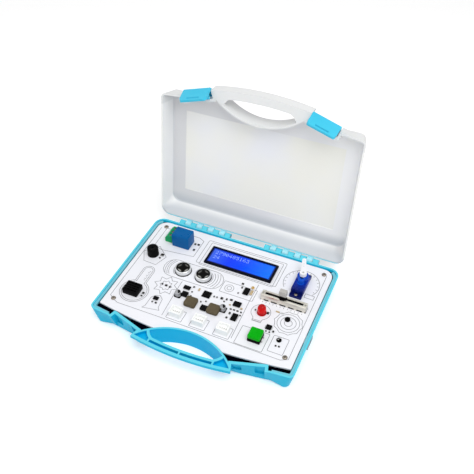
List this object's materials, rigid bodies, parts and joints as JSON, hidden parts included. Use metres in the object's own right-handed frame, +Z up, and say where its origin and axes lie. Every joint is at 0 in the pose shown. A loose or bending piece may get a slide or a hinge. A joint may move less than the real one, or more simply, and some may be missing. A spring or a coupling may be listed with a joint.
{
  "type": "microcontroller learning kit",
  "caption": "Hinged carrying case whose tray holds a sensor board with display, relay, servo, slider, button and sockets.",
  "frame": {"origin": "middle of the tray's flat underside", "axes": "+Z up, +Y towards the hinge, +X along the hinge to the right of someone at the handle"},
  "size_m": [0.202, 0.2008, 0.1754],
  "materials": {
    "tray_plastic": "moulded polypropylene, fine grain",
    "lid_plastic": "frosted translucent polypropylene",
    "steel": "plain turned wire",
    "panel_white": "white coated laminate",
    "black_plastic": "moulded",
    "display_glass": "lit blue display window",
    "relay_blue": "moulded",
    "terminal_green": "moulded",
    "can_silver": "drawn can",
    "mesh_black": "woven mesh",
    "servo_blue": "tinted moulding",
    "horn_white": "moulded",
    "lamp_red": "tinted epoxy",
    "button_green": "moulded",
    "socket_white": "moulded",
    "coil_grey": "ferrite block",
    "gold": "gilt contact"
  },
  "bodies": {
    "case": {"base_shell": "tray_plastic", "hinge_pin_left": "steel", "hinge_pin_right": "steel", "port_bezel": "black_plastic", "panel_board": "panel_white", "panel_screws": "steel", "lcd_bezel": "black_plastic", "lcd_glass": "display_glass", "relay": "relay_blue", "relay_terminal": "terminal_green", "terminal_screws": "steel", "buzzer": "black_plastic", "humidity_sensor": "black_plastic", "ultrasonic_can_left": "can_silver", "ultrasonic_can_right": "can_silver", "ultrasonic_meshes": "mesh_black", "servo_body": "servo_blue", "servo_screws": "steel", "slider_body": "can_silver", "led_lamp": "lamp_red", "button_base": "black_plastic", "signal_socket_left": "socket_white", "signal_socket_middle": "socket_white", "signal_socket_right": "socket_white", "socket_pins": "gold", "main_chip": "black_plastic", "power_inductors": "coil_grey", "driver_chips": "black_plastic", "capacitor_cans": "can_silver", "touch_contact": "gold", "vibration_sensor": "black_plastic", "infrared_receiver": "black_plastic", "crystal_can": "can_silver", "chip_trim": "coil_grey", "usb_socket": "can_silver"},
    "lid": {"lid_shell": "lid_plastic", "latch_pin_left": "steel", "latch_pin_right": "steel"},
    "left_latch": {"latch_left": "tray_plastic"},
    "right_latch": {"latch_right": "tray_plastic"},
    "horn": {"servo_horn": "horn_white", "horn_screw": "steel"},
    "lever": {"slider_lever": "black_plastic"},
    "cap": {"button_cap": "button_green"}
  },
  "joints": [
    {"name": "lid_hinge", "type": "hinge", "parent": "case", "child": "lid", "pos_m": [0, 0.0735, 0.0182], "axis": [1, 0, 0], "range_deg": [0, 98.5]},
    {"name": "right_latch_hinge", "type": "hinge", "parent": "lid", "child": "right_latch", "pos_m": [0.06068, 0.107, 0.15781], "axis": [-0.9568, 0.043, 0.2875], "range_deg": [-6.5, 95]},
    {"name": "left_latch_hinge", "type": "hinge", "parent": "lid", "child": "left_latch", "pos_m": [-0.06068, 0.107, 0.15781], "axis": [-0.9568, -0.043, -0.2875], "range_deg": [-6.5, 95]},
    {"name": "servo_turn", "type": "hinge", "parent": "case", "child": "horn", "pos_m": [0.071, 0.0415, 0.0314], "axis": [0, 0, 1], "range_deg": [-106, 74]},
    {"name": "slider_travel", "type": "slide", "parent": "case", "child": "lever", "axis": [1, 0, 0], "range_m": [-0.0144, 0.0168]},
    {"name": "button_press", "type": "slide", "parent": "case", "child": "cap", "axis": [0, 0, -1], "range_m": [0, 0.0005], "stiffness_N_per_m": 400}
  ]
}
